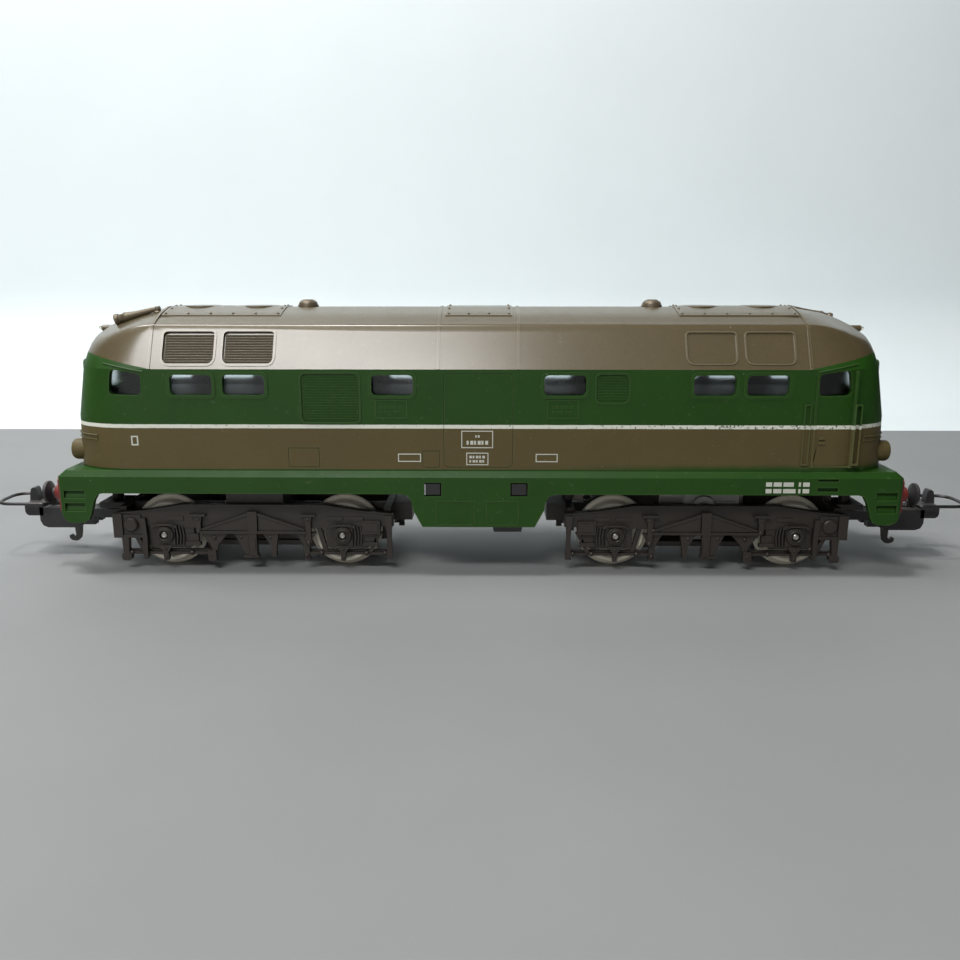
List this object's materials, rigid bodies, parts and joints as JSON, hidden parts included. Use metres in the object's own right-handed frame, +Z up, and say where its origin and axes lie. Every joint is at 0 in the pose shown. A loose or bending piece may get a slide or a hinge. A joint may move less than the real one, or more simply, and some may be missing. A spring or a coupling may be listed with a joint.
{
  "type": "model diesel locomotive",
  "caption": "Scale model diesel locomotive: moulded body on swivelling bogies with spinning wheelsets, a geared motor in the rear bogie, buffers and hook-and-loop couplers.",
  "frame": {"origin": "middle of the model at the bottom of the wheel flanges", "axes": "+X along the model towards the motor bogie (rear) end, -Y the near side, +Z up"},
  "size_m": [0.1948, 0.0318, 0.0512],
  "materials": {
    "painted_shell": "satin",
    "black_plastic": "satin",
    "ballast_metal": "dull",
    "clear_plastic": "gloss",
    "lens_plastic": "gloss",
    "bronze_plastic": "satin",
    "red_plastic": "satin",
    "blackened_wire": "satin",
    "brown_black_plastic": "matt",
    "plated_steel": "satin",
    "spring_bronze": "satin",
    "pale_grey_plastic": "matt",
    "rotor_steel": "satin",
    "brass": "satin",
    "nylon": "satin",
    "wheel_metal": "satin"
  },
  "bodies": {
    "body": {"body_shell": "painted_shell", "chassis_frame": "black_plastic", "ballast_weight": "ballast_metal", "front_pivot_screw": "plated_steel", "glazing_near": "clear_plastic", "glazing_far": "clear_plastic", "windscreen_front": "clear_plastic", "marker_lens_front": "lens_plastic", "roof_cap_front": "bronze_plastic", "horn_front": "bronze_plastic", "buffer_beam_front": "red_plastic", "headlight_lens_front_near": "lens_plastic", "headlight_lens_front_far": "lens_plastic", "buffer_front_near": "black_plastic", "buffer_front_far": "black_plastic", "windscreen_rear": "clear_plastic", "marker_lens_rear": "lens_plastic", "roof_cap_rear": "bronze_plastic", "horn_rear": "bronze_plastic", "buffer_beam_rear": "red_plastic", "headlight_lens_rear_near": "lens_plastic", "headlight_lens_rear_far": "lens_plastic", "buffer_rear_near": "black_plastic", "buffer_rear_far": "black_plastic"},
    "front_bogie": {"front_bogie_frame": "brown_black_plastic", "front_keeper_plate": "brown_black_plastic", "side_frame_front_near": "brown_black_plastic", "side_frame_front_far": "brown_black_plastic", "pickup_strip_near": "spring_bronze", "pickup_strip_far": "spring_bronze"},
    "rear_bogie": {"rear_bogie_frame": "brown_black_plastic", "rear_keeper_plate": "brown_black_plastic", "rear_retaining_ring": "black_plastic", "gear_cover": "brown_black_plastic", "motor_housing": "plated_steel", "brush_cover": "pale_grey_plastic", "side_frame_rear_near": "brown_black_plastic", "side_frame_rear_far": "brown_black_plastic"},
    "wheelset_1": {"axle_1": "plated_steel", "wheel_1_near": "wheel_metal", "wheel_1_far": "wheel_metal"},
    "wheelset_2": {"axle_2": "plated_steel", "wheel_2_near": "wheel_metal", "wheel_2_far": "wheel_metal"},
    "wheelset_3": {"axle_3": "plated_steel", "wheel_3_near": "wheel_metal", "wheel_3_far": "wheel_metal", "drive_gear_3": "nylon"},
    "wheelset_4": {"axle_4": "plated_steel", "wheel_4_near": "wheel_metal", "wheel_4_far": "wheel_metal", "drive_gear_4": "nylon"},
    "idler_3": {"idler_gear_3": "nylon"},
    "idler_4": {"idler_gear_4": "nylon"},
    "armature": {"motor_armature": "rotor_steel", "motor_pinion": "brass"},
    "coupler_front": {"coupler_head_front": "black_plastic"},
    "loop_front": {"coupler_loop_front": "blackened_wire"},
    "coupler_rear": {"coupler_head_rear": "black_plastic"},
    "loop_rear": {"coupler_loop_rear": "blackened_wire"}
  },
  "joints": [
    {"name": "front_bogie_swivel", "type": "hinge", "parent": "body", "child": "front_bogie", "pos_m": [-0.04327, 0, 0.015], "axis": [0, 0, 1], "range_deg": [-7, 7]},
    {"name": "rear_bogie_swivel", "type": "hinge", "parent": "body", "child": "rear_bogie", "pos_m": [0.04327, 0, 0.015], "axis": [0, 0, 1], "range_deg": [-7, 7]},
    {"name": "wheelset_1_spin", "type": "hinge", "parent": "front_bogie", "child": "wheelset_1", "pos_m": [-0.06042, 0, 0.00709], "axis": [0, 1, 0], "continuous": true},
    {"name": "wheelset_2_spin", "type": "hinge", "parent": "front_bogie", "child": "wheelset_2", "pos_m": [-0.02612, 0, 0.00709], "axis": [0, 1, 0], "continuous": true},
    {"name": "wheelset_3_spin", "type": "hinge", "parent": "rear_bogie", "child": "wheelset_3", "pos_m": [0.02612, 0, 0.00709], "axis": [0, 1, 0], "continuous": true},
    {"name": "wheelset_4_spin", "type": "hinge", "parent": "rear_bogie", "child": "wheelset_4", "pos_m": [0.06042, 0, 0.00709], "axis": [0, 1, 0], "continuous": true},
    {"name": "idler_3_spin", "type": "hinge", "parent": "rear_bogie", "child": "idler_3", "pos_m": [0.03642, 0, 0.00909], "axis": [0, 1, 0], "continuous": true},
    {"name": "idler_4_spin", "type": "hinge", "parent": "rear_bogie", "child": "idler_4", "pos_m": [0.05012, 0, 0.00909], "axis": [0, 1, 0], "continuous": true},
    {"name": "armature_spin", "type": "hinge", "parent": "rear_bogie", "child": "armature", "pos_m": [0.04327, 0, 0.01322], "axis": [0, 1, 0], "continuous": true},
    {"name": "front_coupler_swing", "type": "hinge", "parent": "front_bogie", "child": "coupler_front", "pos_m": [-0.0725, 0, 0.0086], "axis": [0, 0, 1], "range_deg": [-7, 7]},
    {"name": "front_loop_lift", "type": "hinge", "parent": "coupler_front", "child": "loop_front", "pos_m": [-0.08, 0, 0.0073], "axis": [0, 1, 0], "range_deg": [0, 18]},
    {"name": "rear_coupler_swing", "type": "hinge", "parent": "rear_bogie", "child": "coupler_rear", "pos_m": [0.0725, 0, 0.0086], "axis": [0, 0, 1], "range_deg": [-7, 7]},
    {"name": "rear_loop_lift", "type": "hinge", "parent": "coupler_rear", "child": "loop_rear", "pos_m": [0.08, 0, 0.0073], "axis": [0, -1, 0], "range_deg": [0, 18]}
  ],
  "couplings": [
    {"joint": "wheelset_4_spin", "follows": "wheelset_3_spin", "ratio": 1},
    {"joint": "idler_3_spin", "follows": "wheelset_3_spin", "ratio": -0.90909},
    {"joint": "idler_4_spin", "follows": "wheelset_3_spin", "ratio": -0.90909},
    {"joint": "armature_spin", "follows": "wheelset_3_spin", "ratio": 2}
  ]
}
